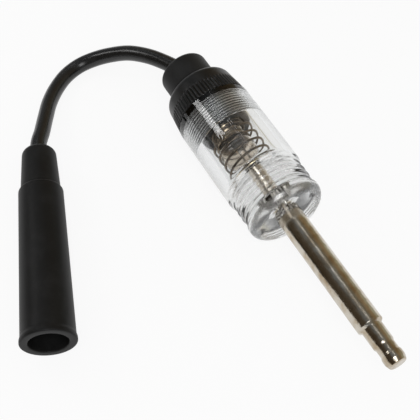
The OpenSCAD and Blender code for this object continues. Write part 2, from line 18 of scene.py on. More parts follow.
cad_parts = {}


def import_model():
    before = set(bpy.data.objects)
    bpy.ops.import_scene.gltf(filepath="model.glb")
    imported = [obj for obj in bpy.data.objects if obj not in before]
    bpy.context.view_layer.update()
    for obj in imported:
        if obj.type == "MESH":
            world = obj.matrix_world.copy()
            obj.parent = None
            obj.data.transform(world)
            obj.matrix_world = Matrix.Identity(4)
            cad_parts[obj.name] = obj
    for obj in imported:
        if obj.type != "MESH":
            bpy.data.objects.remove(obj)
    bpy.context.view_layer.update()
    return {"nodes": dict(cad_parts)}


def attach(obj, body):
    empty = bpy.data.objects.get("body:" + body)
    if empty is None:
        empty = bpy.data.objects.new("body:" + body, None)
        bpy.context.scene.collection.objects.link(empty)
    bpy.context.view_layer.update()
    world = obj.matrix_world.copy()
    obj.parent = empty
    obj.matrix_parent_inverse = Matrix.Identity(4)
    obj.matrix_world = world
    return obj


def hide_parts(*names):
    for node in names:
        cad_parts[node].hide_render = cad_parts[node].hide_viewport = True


LOG = logging.getLogger("coil_tester")
MM = 0.001
TURN = 2 * math.pi

Station = tuple[float, float]
Triple = tuple[float, float, float]
Colour = Triple
Relief = Callable[[float, float, float], float]
Piece = bpy.types.Object
Material = bpy.types.Material

WHITE = (1.0, 1.0, 1.0)


class Ray(Enum):
    """The kinds of ray that a light path tells apart."""

    CAMERA = "Is Camera Ray"
    MIRROR = "Is Glossy Ray"
    CLEAR = "Is Transmission Ray"
    MATT = "Is Diffuse Ray"


class Body(Enum):
    """The rigid bodies of the tester."""

    CAP_AND_LEAD = "cap_and_lead"
    LAMP = "lamp"
    BARREL = "barrel"


def grey(level: float) -> Colour:
    """A colour with no hue."""
    return (level, level, level)


# Small tools for outlines


def arc(centre: Station, radius: float, start: float, end: float, steps: int = 8) -> list[Station]:
    """Points along an arc of an outline.

    Args:
        centre: radius and place of the arc's centre.
        radius: radius of the arc.
        start: first angle in degrees, from the radial direction towards the tip.
        end: last angle in degrees.
        steps: number of chords.

    Returns:
        The points, both ends included.
    """
    angles = [math.radians(start + (end - start) * i / steps) for i in range(steps + 1)]
    return [(centre[0] + radius * math.cos(a), centre[1] + radius * math.sin(a)) for a in angles]


def spaced(first: float, last: float, step: float) -> list[float]:
    """Places from first to last, both included, about step apart."""
    count = max(1, round(abs(last - first) / step))
    return [first + (last - first) * i / count for i in range(count + 1)]


def wall(r: float, *places: float) -> list[Station]:
    """Points at one radius."""
    return [(r, x) for x in places]


def smooth(value: float) -> float:
    """A step from 0 to 1 with soft ends."""
    t = min(max(value, 0.0), 1.0)
    return t * t * (3 - 2 * t)


def side(first: Station, last: Station, steps: int, soft: bool = False) -> list[Station]:
    """Points along a side of an outline, without its first point.

    Args:
        first: radius and place where the side starts.
        last: radius and place where it ends.
        steps: number of points.
        soft: whether the radius changes in a soft S instead of a straight line.

    Returns:
        The points.
    """
    shares = [t / steps for t in range(1, steps + 1)]
    return [(first[0] + (last[0] - first[0]) * (smooth(t) if soft else t),
             first[1] + (last[1] - first[1]) * t) for t in shares]


def between(x: float, start: float, end: float, fade: float) -> float:
    """1 between two places and 0 outside them, with soft ends."""
    return smooth((x - start) / fade) * smooth((end - x) / fade)


def thread_wave(x: float, angle: float, pitch: float) -> float:
    """Depth of a helical thread between 0 and 1."""
    return 0.5 - 0.5 * math.cos(TURN * (x / pitch - angle / TURN))


def run_on(points: Sequence[Vector]) -> list[Vector]:
    """The points with one more at each end, in line with the last two."""
    return [2 * points[0] - points[1], *points, 2 * points[-1] - points[-2]]


def softer_of(a: float, b: float, blend: float) -> float:
    """The smaller of two numbers, rounded over where they meet."""
    return 0.5 * (a + b - math.sqrt((a - b) ** 2 + blend * blend))


def curve_points(points: Sequence[Vector], steps: int) -> list[Vector]:
    """Stations along a smooth curve through the points.

    Args:
        points: the points that the curve passes through.
        steps: stations from one point to the next.

    Returns:
        The stations, both ends included.
    """
    ends = run_on(points)
    line = []
    for a, b, c, d in zip(ends, ends[1:], ends[2:], ends[3:]):
        for i in range(steps):
            t = i / steps
            line.append(0.5 * (2 * b + (c - a) * t + (2 * a - 5 * b + 4 * c - d) * t * t
                               + (3 * b - a - 3 * c + d) * t * t * t))
    return [*line, points[-1]]


# Mesh making


def linked(name: str, data: bpy.types.ID) -> Piece:
    """Make an object of the data and put it in the scene.

    Args:
        name: name of the piece.
        data: its mesh, curve, camera or light.

    Returns:
        The object.
    """
    piece = bpy.data.objects.new(name, data)
    bpy.context.scene.collection.objects.link(piece)
    return piece


def finished_mesh(name: str, points: Iterable[Vector], faces: Iterable[Sequence[int]],
                  crease: float = 35.0) -> Piece:
    """Make a smooth object from points and faces.

    Args:
        name: name of the piece.
        points: its corners, in millimetres in the row frame.
        faces: corner numbers of each face.
        crease: faces that meet at more than this angle in degrees keep a sharp edge.

    Returns:
        The new object, linked to the scene.
    """
    mesh = bpy.data.meshes.new(name)
    mesh.from_pydata([tuple(p * MM) for p in points], [], [tuple(f) for f in faces])
    work = bmesh.new()
    work.from_mesh(mesh)
    bmesh.ops.recalc_face_normals(work, faces=work.faces)
    work.to_mesh(mesh)
    work.free()
    mesh.polygons.foreach_set("use_smooth", [True] * len(mesh.polygons))
    mesh.set_sharp_from_angle(angle=math.radians(crease))
    return linked(name, mesh)


def joined(name: str, pieces: Sequence[Piece]) -> Piece:
    """Join objects into the first one and give it the name.

    Args:
        name: name of the whole.
        pieces: the objects.

    Returns:
        The first object.
    """
    with bpy.context.temp_override(active_object=pieces[0], selected_editable_objects=list(pieces)):
        bpy.ops.object.join()
    pieces[0].name = name
    pieces[0].data.name = name
    return pieces[0]


@dataclass(frozen=True)
class Axis:
    """A straight line that things are turned about.

    Attributes:
        origin: where distances along the axis are counted from.
        along: direction of growing distance.
        across: direction at angle zero.
    """

    origin: Vector
    along: Vector
    across: Vector

    def at(self, x: float, r: float = 0.0, angle: float = 0.0) -> Vector:
        """A point by its distance along the axis, its radius and its angle in radians."""
        over = self.along.cross(self.across)
        return self.origin + x * self.along + r * (math.cos(angle) * self.across + math.sin(angle) * over)

    def turned(self, name: str, outline: Sequence[Station], sides: int = 96, closed: bool = False,
               relief: Relief | None = None, crease: float = 35.0) -> Piece:
        """Turn an outline about the axis.

        Args:
            name: name of the piece.
            outline: radius and place of each point; a radius of 0 at an end closes the surface there.
            sides: number of divisions round the axis.
            closed: whether the outline runs back to its first point.
            relief: gives the radius from a point's radius, place and angle.
            crease: angle in degrees above which an edge stays sharp.

        Returns:
            The new object.
        """
        points: list[Vector] = []
        rings: list[list[int]] = []
        for r, x in outline:
            if r < 1e-6:
                rings.append([len(points)])
                points.append(self.at(x))
                continue
            rings.append(list(range(len(points), len(points) + sides)))
            for k in range(sides):
                angle = TURN * k / sides
                points.append(self.at(x, relief(r, x, angle) if relief else r, angle))
        pairs = list(zip(rings, rings[1:] + rings[:1])) if closed else list(zip(rings, rings[1:]))
        faces = []
        for low, high in pairs:
            for k in range(sides):
                n = (k + 1) % sides
                corners = [low[k % len(low)], low[n % len(low)], high[n % len(high)], high[k % len(high)]]
                faces.append(list(dict.fromkeys(corners)))
        return finished_mesh(name, points, faces, crease)


def swept(name: str, line: Sequence[Vector], radius: float, sides: int) -> Piece:
    """Sweep a round section along a line, with both ends closed.

    Args:
        name: name of the piece.
        line: the stations of the middle line.
        radius: radius of the section.
        sides: number of divisions round the section.

    Returns:
        The new object.
    """
    points: list[Vector] = []
    across = Vector((0, 0, 1))
    for i, centre in enumerate(line):
        ahead = (line[min(i + 1, len(line) - 1)] - line[max(i - 1, 0)]).normalized()
        across = (across - across.dot(ahead) * ahead).normalized()
        over = ahead.cross(across)
        for k in range(sides):
            angle = TURN * k / sides
            points.append(centre + radius * (math.cos(angle) * across + math.sin(angle) * over))
    faces: list[list[int]] = []
    for i in range(len(line) - 1):
        low, high = i * sides, (i + 1) * sides
        faces += [[low + k, low + (k + 1) % sides, high + (k + 1) % sides, high + k] for k in range(sides)]
    last = (len(line) - 1) * sides
    faces += [list(range(sides)), list(range(last, last + sides))]
    return finished_mesh(name, points, faces, 60.0)


# Materials


class Value:
    """A number that varies over a surface, held as the socket that carries it."""

    def __init__(self, shader: Shader, socket: bpy.types.NodeSocket) -> None:
        """Keep the socket and the shader that it belongs to."""
        self.shader = shader
        self.socket = socket

    def _math(self, operation: str, first: object, second: object) -> Value:
        """Add one Math node and return its result."""
        return self.shader.node("Math", {"operation": operation}, {0: first, 1: second})

    def __add__(self, other: object) -> Value:
        """Sum."""
        return self._math("ADD", self, other)

    def __radd__(self, other: object) -> Value:
        """Sum, reflected."""
        return self._math("ADD", other, self)

    def __sub__(self, other: object) -> Value:
        """Difference."""
        return self._math("SUBTRACT", self, other)

    def __rsub__(self, other: object) -> Value:
        """Difference, reflected."""
        return self._math("SUBTRACT", other, self)

    def __mul__(self, other: object) -> Value:
        """Product."""
        return self._math("MULTIPLY", self, other)

    def __rmul__(self, other: object) -> Value:
        """Product, reflected."""
        return self._math("MULTIPLY", other, self)

    def __pow__(self, other: object) -> Value:
        """Power."""
        return self._math("POWER", self, other)

    def __rpow__(self, other: object) -> Value:
        """Power, reflected."""
        return self._math("POWER", other, self)

    def limited(self) -> Value:
        """The value held between 0 and 1."""
        return self.shader.node("Clamp", {}, {"Value": self})

    def above(self, level: float, width: float) -> Value:
        """A soft step that is 1 where the value passes the level."""
        return self.shader.node("MapRange", {"interpolation_type": "SMOOTHSTEP"},
                                {"Value": self, "From Min": level - width, "From Max": level + width})


class Shader:
    """The node tree of one material, or of the world."""

    def __init__(self, name: str, world: bool = False) -> None:
        """Make a material with a Principled shader, or a world with an empty tree.

        Args:
            name: name of the material or world.
            world: whether it is a world.
        """
        self.material = bpy.data.worlds.new(name) if world else bpy.data.materials.new(name)
        self.material.use_nodes = True
        self.tree = self.material.node_tree
        self.tree.nodes.clear()
        self.output = self.tree.nodes.new("ShaderNodeOutputWorld" if world else "ShaderNodeOutputMaterial")
        if not world:
            self.principled = self.tree.nodes.new("ShaderNodeBsdfPrincipled")
            self.show(Value(self, self.principled.outputs["BSDF"]))

    def show(self, value: Value) -> None:
        """Make a shader the surface of the material or world."""
        self.feed(self.output.inputs["Surface"], value)

    def rays(self, *kinds: Ray) -> list[Value]:
        """For each kind of ray, 1 where a ray is of that kind and 0 elsewhere."""
        return [self.node("LightPath", {}, {}, kind.value) for kind in kinds]

    def background(self, colour: object) -> Value:
        """An even glow for the world."""
        return self.node("Background", {}, {"Color": colour, "Strength": 1.0})

    def feed(self, target: bpy.types.NodeSocket, value: object) -> None:
        """Set a socket to a number or colour, or link a value to it.

        Args:
            target: the socket.
            value: the number, colour or value.
        """
        if isinstance(value, Value):
            self.tree.links.new(value.socket, target)
        elif isinstance(value, tuple) and len(value) == 3 and target.type == "RGBA":
            target.default_value = (*value, 1.0)
        else:
            target.default_value = value

    def node(self, kind: str, settings: Mapping[str, object], inputs: Mapping[object, object],
             output: int | str = 0) -> Value:
        """Add a node.

        Args:
            kind: the node's type, without its prefix.
            settings: properties that are set first; "stops" holds a ramp's places and colours.
            inputs: numbers, colours or links for its sockets, by name or place.
            output: the socket that is wanted.

        Returns:
            The value of that output.
        """
        made = self.tree.nodes.new("ShaderNode" + kind)
        for key, setting in settings.items():
            if key == "stops":
                self.set_stops(made.color_ramp, setting)
            else:
                setattr(made, key, setting)
        for key, value in inputs.items():
            self.feed(made.inputs[key], value)
        return Value(self, made.outputs[output])

    @staticmethod
    def set_stops(ramp: bpy.types.ColorRamp, stops: Sequence[tuple[float, Colour]]) -> None:
        """Give a colour ramp its stops.

        Args:
            ramp: the ramp.
            stops: place and colour of each stop.
        """
        ramp.elements[0].position, ramp.elements[-1].position = stops[0][0], stops[-1][0]
        for place, _ in stops[1:-1]:
            ramp.elements.new(place)
        for element, (_, colour) in zip(ramp.elements, stops):
            element.color = (*colour, 1.0)

    def place(self, scale: Sequence[float] = (1.0, 1.0, 1.0)) -> Value:
        """The point on the piece in metres, stretched by a scale along each axis."""
        point = self.node("TexCoord", {}, {}, "Object")
        return self.node("Mapping", {}, {"Vector": point, "Scale": scale})

    def distance(self, axis: str) -> Value:
        """The point's distance along an axis of the row frame, in millimetres."""
        return self.node("SeparateXYZ", {}, {0: self.place()}, axis) * (1.0 / MM)

    def noise(self, size_mm: float, detail: float = 3.0, rough: float = 0.5,
              stretch: Sequence[float] = (1.0, 1.0, 1.0)) -> Value:
        """Cloudy noise with features of a size in millimetres.

        Args:
            size_mm: size of the features.
            detail: how many finer layers are added.
            rough: how strong they are.
            stretch: scale along each axis.

        Returns:
            The noise, between 0 and 1.
        """
        scale = 1.0 / (size_mm * MM)
        return self.node("TexNoise", {"noise_dimensions": "3D"}, {
            "Vector": self.place(stretch), "Scale": scale, "Detail": detail, "Roughness": rough})

    def mixed(self, factor: object, first: object, second: object) -> Value:
        """A colour between two colours."""
        return self.node("Mix", {"data_type": "RGBA"}, {0: factor, 6: first, 7: second}, 2)

    def bump(self, height: Value, depth_mm: float, strength: float = 1.0) -> Value:
        """Surface relief from a height between 0 and 1."""
        return self.node("Bump", {}, {"Height": height, "Distance": depth_mm * MM, "Strength": strength})

    def set(self, **sockets: object) -> None:
        """Set or link sockets of the Principled shader, with words joined by underscores."""
        for key, value in sockets.items():
            self.feed(self.principled.inputs[key.replace("_", " ")], value)


@dataclass(frozen=True)
class Moulding:
    """A dark rubber or plastic with fine grain, dust and worn sheen.

    Attributes:
        dust: colour where dust or wear lightens it.
        gloss_rough: lowest and highest roughness.
        grain_mm: size of the grain.
        sheen: strength of the soft edge sheen.
        ior: index of refraction, which sets how much it mirrors.
    """

    name: str
    colour: Colour
    dust: Colour
    gloss_rough: tuple[float, float]
    grain_mm: float = 0.35
    grain_depth: float = 0.01
    sheen: float = 0.0
    ior: float = 1.4

    def material(self) -> Material:
        """Build the material.

        Returns:
            The material.
        """
        s = Shader(self.name)
        cloud = s.noise(6.0, 4.0, 0.6)
        specks = s.noise(0.6, 2.0, 0.5).above(0.68, 0.04)
        low, high = self.gloss_rough
        dusty = (cloud.above(0.55, 0.15) * 0.5 + specks * 0.35).limited()
        s.set(Base_Color=s.mixed(dusty, self.colour, self.dust),
              Roughness=low + cloud * (high - low),
              Normal=s.bump(s.noise(self.grain_mm, 3.0, 0.6), self.grain_depth),
              IOR=self.ior, Sheen_Weight=self.sheen, Sheen_Roughness=0.5)
        return s.material


@dataclass(frozen=True)
class Plating:
    """Bright metal with drawn lines, clouded gloss and small stains.

    Attributes:
        stain: colour of tarnished places.
        gloss_rough: lowest and highest roughness.
        stain_share: how much of the surface is stained.
        drawn: stretch of the fine lines along each axis.
    """

    name: str
    colour: Colour
    stain: Colour
    gloss_rough: tuple[float, float] = (0.08, 0.2)
    stain_share: float = 0.3
    drawn: Triple = (0.04, 1.0, 1.0)
    scratch_depth: float = 0.002

    def material(self) -> Material:
        """Build the material.

        Returns:
            The material.
        """
        s = Shader(self.name)
        cloud = s.noise(4.0, 4.0, 0.6)
        lines = s.noise(0.25, 2.0, 0.5, self.drawn)
        low, high = self.gloss_rough
        s.set(Base_Color=s.mixed(cloud.above(1.0 - self.stain_share, 0.25), self.colour, self.stain),
              Metallic=1.0,
              Roughness=(low + cloud * (high - low) * 0.7 + lines * (high - low) * 0.3),
              Normal=s.bump(lines, self.scratch_depth))
        return s.material


@dataclass(frozen=True)
class ClearMoulding:
    """Clear acrylic or glass with a faint haze.

    Attributes:
        haze: lowest and highest roughness.
        ripple_mm: size of the ripples in the surface.
        clear: share of the light that passes, the rest being scattered.
        smudge: colour where the piece is stained.
        smudge_share: how much of it is stained.
    """

    name: str
    tint: Colour
    ior: float
    haze: tuple[float, float] = (0.0, 0.04)
    ripple_mm: float = 3.0
    ripple_depth: float = 0.004
    clear: float = 1.0
    smudge: Colour = (0.5, 0.42, 0.34)
    smudge_share: float = 0.3

    def material(self) -> Material:
        """Build the material.

        Returns:
            The material.
        """
        s = Shader(self.name)
        cloud = s.noise(self.ripple_mm, 3.0, 0.5)
        stain = s.noise(self.ripple_mm * 0.6, 4.0, 0.6).above(1.0 - self.smudge_share, 0.2)
        low, high = self.haze
        s.set(Base_Color=s.mixed(stain, self.tint, self.smudge),
              Transmission_Weight=self.clear, IOR=self.ior,
              Roughness=low + cloud.above(0.6, 0.2) * (high - low),
              Normal=s.bump(cloud, self.ripple_depth))
        return s.material


# Places along the tester


@dataclass(frozen=True)
class Layout:
    """Where the tester and its boot lie in the row frame.

    Attributes:
        barrel_l: length of the barrel.
        rod_l: length of rod between barrel and shoulder.
        boot_mouth: middle of the boot's mouth, from the barrel's rim.
        boot_angle: direction of the boot's mouth in degrees.
    """

    barrel_l: float = 45.4
    rod_l: float = 41.3
    boot_mouth: Triple = (45.6, -78.1, -4.6)
    boot_angle: float = -20.9

    @property
    def shoulder(self) -> float:
        """Distance from the barrel's rim to the probe's shoulder."""
        return self.barrel_l + self.rod_l

    @property
    def tester(self) -> Axis:
        """The tester's axis, counted from the barrel's rim."""
        return Axis(Vector((-self.shoulder, 0, 0)), Vector((1, 0, 0)), Vector((0, 1, 0)))

    @property
    def boot(self) -> Axis:
        """The boot's axis, counted from its mouth inwards.

        Returns:
            The axis, with the upward direction across it.
        """
        a = math.radians(self.boot_angle)
        along = Vector((-math.cos(a), -math.sin(a), 0))
        return Axis(self.place(Vector(self.boot_mouth)), along, Vector((0, 0, 1)))

    def place(self, point: Vector) -> Vector:
        """A point in the row frame from one counted from the rim."""
        return point - Vector((self.shoulder, 0, 0))


@dataclass
class SubAssembly:
    """A group of pieces that ride together.

    Attributes:
        layout: where things lie.
        nodes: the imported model's nodes, by name.
        pieces: the names of what has been made.
    """

    layout: Layout
    nodes: Mapping[str, Piece]
    pieces: list[str] = field(default_factory=list)

    @property
    def tester(self) -> Axis:
        """The tester's axis."""
        return self.layout.tester

    def dress(self, finish: Moulding | Plating | ClearMoulding, *names: str) -> Material:
        """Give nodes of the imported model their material.

        Args:
            finish: what they are made of.
            names: the nodes.

        Returns:
            The material.
        """
        material = finish.material()
        for name in names:
            piece = self.nodes[name]
            piece.data.materials.clear()
            piece.data.materials.append(material)
            self.pieces.append(name)
        return material

    def stand_in(self, piece: Piece, node: str | None, slot: str, body: Body,
                 material: Material) -> None:
        """Let a modelled piece stand for a node.

        Args:
            piece: the new piece.
            node: the node that it replaces, or None for an added piece.
            slot: the record's material slot; not used.
            body: the body that it rides on.
            material: its material.
        """
        piece.data.materials.append(material)
        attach(piece, body.value)
        if node:
            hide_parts(node)
        self.pieces.append(piece.name)


@dataclass
class Barrel(SubAssembly):
    """The clear barrel with its inside thread, lamp chamber and turned grip."""

    outside_d: float = 25.4
    chamber_d: float = 17.0
    chamber_l: float = 28.8
    chamber_corner: float = 1.8
    thread_d: float = 17.9
    thread_l: float = 10.4
    thread_pitch: float = 1.0
    thread_depth: float = 0.27
    rim_chamfer: float = 0.5
    grip_d: float = 24.2
    grip_slope_l: float = 2.2
    grip_grooves: int = 4
    grip_pitch: float = 2.35
    neck_gap: float = 0.8
    groove_depth: float = 0.55
    groove_r: float = 1.1
    flange_l: float = 4.8
    flange_d: float = 24.7
    flange_corner: float = 3.3
    crest_softness: float = 0.3
    end_lip: float = 0.1
    turning_step: float = 0.12
    screw_hole_r: float = 1.4
    root_l: float = 7.4
    root_hole_r: float = 3.2
    tint: Colour = (0.97, 0.98, 0.98)
    ior: float = 1.49
    haze: float = 0.04
    drilled_rough: float = 0.1
    turned_rough: float = 0.06
    corner_rough: float = 0.2
    corner_veil: float = 0.16
    marks_l: float = 12.0
    marks_gain: float = 4.0
    ripple_depth: float = 0.008
    clear_corner_l: float = 2.2
    thread_rough: float = 0.22
    thread_veil: float = 0.14
    sides: int = 192

    @property
    def neck(self) -> float:
        """Place of the groove beside the flange."""
        return self.layout.barrel_l - self.flange_l

    def grooves(self) -> list[float]:
        """Place of each groove."""
        last = self.neck - self.neck_gap * self.grip_pitch
        return [self.neck, *[last - k * self.grip_pitch for k in range(self.grip_grooves - 1)]]

    def outer_radius(self, x: float) -> float:
        """Outside radius at a place, with the slope down to the grip and its grooves.

        Args:
            x: place from the rim.

        Returns:
            The radius.
        """
        slope_end = min(self.grooves()) - 0.5 * self.grip_pitch
        step = smooth((x - slope_end + self.grip_slope_l) / self.grip_slope_l)
        crest = self.grip_d / 2
        r = self.outside_d / 2 + (crest - self.outside_d / 2) * step if x < self.neck else self.flange_d / 2
        for place in self.grooves():
            gap = abs(x - place)
            if gap < self.groove_r:
                hollow = crest - self.groove_depth + self.groove_r - math.sqrt(self.groove_r ** 2 - gap ** 2)
                r = softer_of(r, hollow, self.crest_softness)
        return r

    def outline(self) -> list[Station]:
        """The closed outline, from the rim inwards and back along the outside.

        Returns:
            The outline.
        """
        end = self.layout.barrel_l
        r, c = self.chamber_d / 2, self.chamber_corner
        root = end - self.root_l
        inside = wall(self.thread_d / 2, *spaced(0, self.thread_l, self.thread_pitch / 10))
        inside += wall(r, self.thread_l, *spaced(self.thread_l + 0.3, self.chamber_l - c, 1.5))
        inside += arc((r - c, self.chamber_l - c), c, 0, 90)[1:]
        inside += wall(self.screw_hole_r, self.chamber_l, root) + wall(self.root_hole_r, root, end)
        corner = self.flange_corner
        flange_r = self.flange_d / 2 - corner
        outside = [(flange_r - self.end_lip, end), *arc((flange_r, end - corner), corner, 90, 0, 16)]
        outside += [(self.outer_radius(x), x) for x in spaced(
            end - corner - self.turning_step, self.rim_chamfer + 0.2, self.turning_step)]
        outside += [(self.outside_d / 2, self.rim_chamfer), (self.outside_d / 2 - self.rim_chamfer, 0)]
        return inside + outside

    def threaded(self, r: float, x: float, angle: float) -> float:
        """Cut the inside thread into the plain outline.

        Args:
            r: radius of the plain outline.
            x: place along the axis.
            angle: angle in radians.

        Returns:
            The radius there.
        """
        if r > self.thread_d / 2 + 0.01 or x > self.thread_l - 0.05:
            return r
        full = between(x, 0.1, self.thread_l - 0.3, 0.5)
        return r + self.thread_depth * thread_wave(x, angle, self.thread_pitch) * full

    def acrylic(self) -> Material:
        """Clear acrylic: ground rim, tool marks on the grip, duller thread, floor and corner.

        Returns:
            The material.
        """
        s = Shader("clear_acrylic")
        x, y, z = (s.distance(axis) for axis in "XYZ")
        x = x + self.layout.shoulder
        r = (y * y + z * z) ** 0.5
        inside = 1.0 - r.above(self.thread_d / 2 + 1.0, 0.3)
        outside = 1.0 - inside
        drilled = inside * x.above(self.chamber_l - 0.2, 0.1)
        turned = outside * x.above(self.neck - self.marks_l, 0.8)
        corner = outside * x.above(self.neck + self.clear_corner_l, 0.6)
        thread = inside * (1.0 - x.above(self.thread_l, 0.2))
        threaded = (thread + 1.0 - x.above(self.rim_chamfer, 0.1)).limited()
        past_rim = x.above(0.1, 0.05)
        cloud = s.noise(3.0, 3.0, 0.5)
        marks = s.noise(0.7, 3.0, 0.6, (1.0, 0.3, 0.3))
        s.set(Base_Color=self.tint, Transmission_Weight=1.0, IOR=self.ior,
              Metallic=(1.0 - past_rim + threaded * past_rim * self.thread_veil
                        + corner * self.corner_veil),
              Roughness=(cloud.above(0.6, 0.2) * self.haze + drilled * self.drilled_rough
                         + corner * self.corner_rough + turned * self.turned_rough
                         + threaded * self.thread_rough),
              Normal=s.bump(cloud * 0.2 + marks * turned * self.marks_gain, self.ripple_depth))
        return s.material

    def make(self) -> None:
        """Model the barrel and dress it."""
        piece = self.tester.turned("clear_barrel", self.outline(), self.sides, True, self.threaded, 40.0)
        self.stand_in(piece, "barrel", "clear_acrylic", Body.BARREL, self.acrylic())


@dataclass
class Cap(SubAssembly):
    """The knurled screw cap with its threaded spigot, and the sleeve on its boss."""

    seat_d: float = 25.1
    head_l: float = 10.7
    taper: float = 6.4
    corner: float = 2.3
    seat_edge: float = 0.25
    knurl_count: int = 62
    knurl_l: float = 5.3
    knurl_depth: float = 0.38
    groove_share: float = 0.34
    knurl_fade: float = 0.5
    spigot_d: float = 17.7
    spigot_l: float = 10.0
    spigot_bore_d: float = 12.6
    thread_pitch: float = 1.0
    thread_depth: float = 0.45
    web_t: float = 2.5
    screw_hole_r: float = 1.05
    boss_d: float = 10.0
    boss_l: float = 5.4
    turned_edge: float = 0.5
    lead_bore_r: float = 2.65
    sleeve_d: float = 16.35
    sleeve_l: float = 10.6
    sleeve_edge: float = 1.5
    sleeve_flare: float = 1.0
    flare_l: float = 3.5
    flare_edge: float = 0.3
    push_fit: float = 0.05

    def head_outline(self) -> list[Station]:
        """The closed outline of cap, boss and spigot, from the seat round the head and back inside.

        Returns:
            The outline.
        """
        tilt = math.radians(self.taper)
        seat_r = self.seat_d / 2
        corner_x = -(self.head_l - self.corner)
        corner_r = seat_r + corner_x * math.tan(tilt) - self.corner / math.cos(tilt)
        flank_end = corner_x - self.corner * math.sin(tilt)
        head = [(seat_r - self.seat_edge, 0)]
        head += [(seat_r + x * math.tan(tilt), x) for x in spaced(-0.3, flank_end, 0.4)]
        boss_end = -self.head_l - self.boss_l
        head += arc((corner_r, corner_x), self.corner, -self.taper, -90, 10)[1:]
        boss_r, bore_r, spigot_r = self.boss_d / 2, self.spigot_bore_d / 2, self.spigot_d / 2
        edge = self.turned_edge
        boss = [(boss_r, -self.head_l), (boss_r, boss_end + edge), (boss_r - edge, boss_end)]
        bore = wall(self.lead_bore_r, boss_end, -self.web_t)
        bore += wall(self.screw_hole_r, -self.web_t, 0) + wall(bore_r, 0, self.spigot_l)
        thread = wall(spigot_r, *spaced(self.spigot_l - edge, 0, self.thread_pitch / 10))
        return [*head, *boss, *bore, (spigot_r - edge, self.spigot_l), *thread]

    def relief(self, r: float, x: float, angle: float) -> float:
        """Cut the knurl's grooves into the head and the thread into the spigot.

        Args:
            r: radius of the plain outline.
            x: place along the axis.
            angle: angle in radians.

        Returns:
            The radius there.
        """
        if x < 0 and r > self.spigot_d / 2:
            phase = (angle / TURN * self.knurl_count) % 1.0
            cut = max(0.0, 1.0 - abs(phase - 0.5) / self.groove_share)
            return r - self.knurl_depth * cut * smooth((x + self.knurl_l) / self.knurl_fade)
        if x > 0 and abs(r - self.spigot_d / 2) < 0.01:
            full = between(x, 0.3, self.spigot_l - 0.4, 0.4)
            return r - self.thread_depth * thread_wave(x, angle, self.thread_pitch) * full
        return r

    def sleeve_outline(self) -> list[Station]:
        """The closed outline of the sleeve, from its flared mouth over the outside to the cap.

        Returns:
            The outline.
        """
        r, edge, round_r = self.sleeve_d / 2, self.sleeve_edge, self.flare_edge
        outer, inner = -self.head_l - self.sleeve_l, -self.head_l
        mouth_r = self.lead_bore_r + self.sleeve_flare
        step = inner - self.boss_l - self.push_fit
        line = arc((mouth_r + round_r, outer + round_r), round_r, 180, 270, 4)
        line += arc((r - edge, outer + edge), edge, -90, 0)
        line += wall(r, *spaced(outer + edge + 0.5, inner, 1.0))
        line += wall(self.boss_d / 2 + self.push_fit, inner, step)
        return line + wall(self.lead_bore_r, step, outer + self.flare_l)

    def make(self) -> None:
        """Model cap and sleeve and dress them."""
        moulding = Moulding("black_moulding", grey(0.006), grey(0.016), (0.28, 0.42), 0.5, 0.004)
        head = self.tester.turned("knurled_cap", self.head_outline(), self.knurl_count * 8, True,
                                  self.relief, 28.0)
        self.stand_in(head, "cap", "cap_moulding", Body.CAP_AND_LEAD, moulding.material())
        rubber = Moulding("sleeve_rubber", grey(0.008), grey(0.018), (0.5, 0.65), 0.3, 0.01, 0.1, 1.3)
        sleeve = self.tester.turned("sleeve", self.sleeve_outline(), 96, True)
        self.stand_in(sleeve, "strain_relief", "sleeve_rubber", Body.CAP_AND_LEAD, rubber.material())


@dataclass
class Lead(SubAssembly):
    """The lead, on the route that the part's source gives it."""

    diameter: float = 5.2
    web_t: float = 2.5
    bite_l: float = 5.6
    sleeve_end: float = -21.3
    boot_l: float = 67.2
    boot_entry: tuple[float, ...] = (-2.6, 4, 10)
    jacket_end: float = 48.1
    route: tuple[Triple, ...] = (
        (-18, 0, 0), (-23, -1, -0.1), (-29, -3.8, -0.5), (-34.5, -7, -1.3), (-40, -11, -3),
        (-44.5, -15.6, -5.6), (-47.6, -20.6, -7.9), (-48.8, -26.2, -9.5), (-47.2, -32, -10),
        (-43.2, -37.4, -9.7), (-37.6, -42.2, -8.6), (-31, -46.3, -7.1), (-24.8, -49.9, -5.6))

    def points(self) -> list[Vector]:
        """The route's points in the row frame.

        Returns:
            The points, from the lead screw to the crimp.
        """
        boot = self.layout.boot
        seat = -self.web_t - 0.05
        start = [Vector((seat, 0, 0)), Vector((seat - self.bite_l, 0, 0))]
        free = [self.layout.place(p) for p in [*start, *map(Vector, self.route)]]
        depths = (*(self.boot_l - depth for depth in self.boot_entry), self.jacket_end)
        return free + [boot.at(place) for place in depths]

    def length(self) -> float:
        """Length of the lead along its route."""
        line = curve_points(self.points(), 12)
        return sum((b - a).length for a, b in zip(line, line[1:]))

    def make(self) -> None:
        data = bpy.data.curves.new("lead_jacket", "CURVE")
        data.dimensions = "3D"
        data.bevel_depth = self.diameter / 2 * MM
        data.bevel_resolution = 10
        data.resolution_u = 10
        data.use_fill_caps = True
        points = self.points()
        spline = data.splines.new("BEZIER")
        spline.bezier_points.add(len(points) - 1)
        ends = run_on(points)
        for i, knot in enumerate(spline.bezier_points):
            reach = (ends[i + 2] - ends[i]) / 6
            knot.handle_left_type = knot.handle_right_type = "FREE"
            knot.co = points[i] * MM
            knot.handle_left = (points[i] - reach) * MM
            knot.handle_right = (points[i] + reach) * MM
        piece = linked("lead_jacket", data)
        jacket = Moulding("lead_jacket", grey(0.01), grey(0.022), (0.2, 0.32), 0.8, 0.006, 0.0, 1.5)
        self.stand_in(piece, "lead", "lead_jacket", Body.CAP_AND_LEAD, jacket.material())
        leaves = self.layout.place(Vector((self.sleeve_end, 0, 0))) * MM
        self.length() * MM


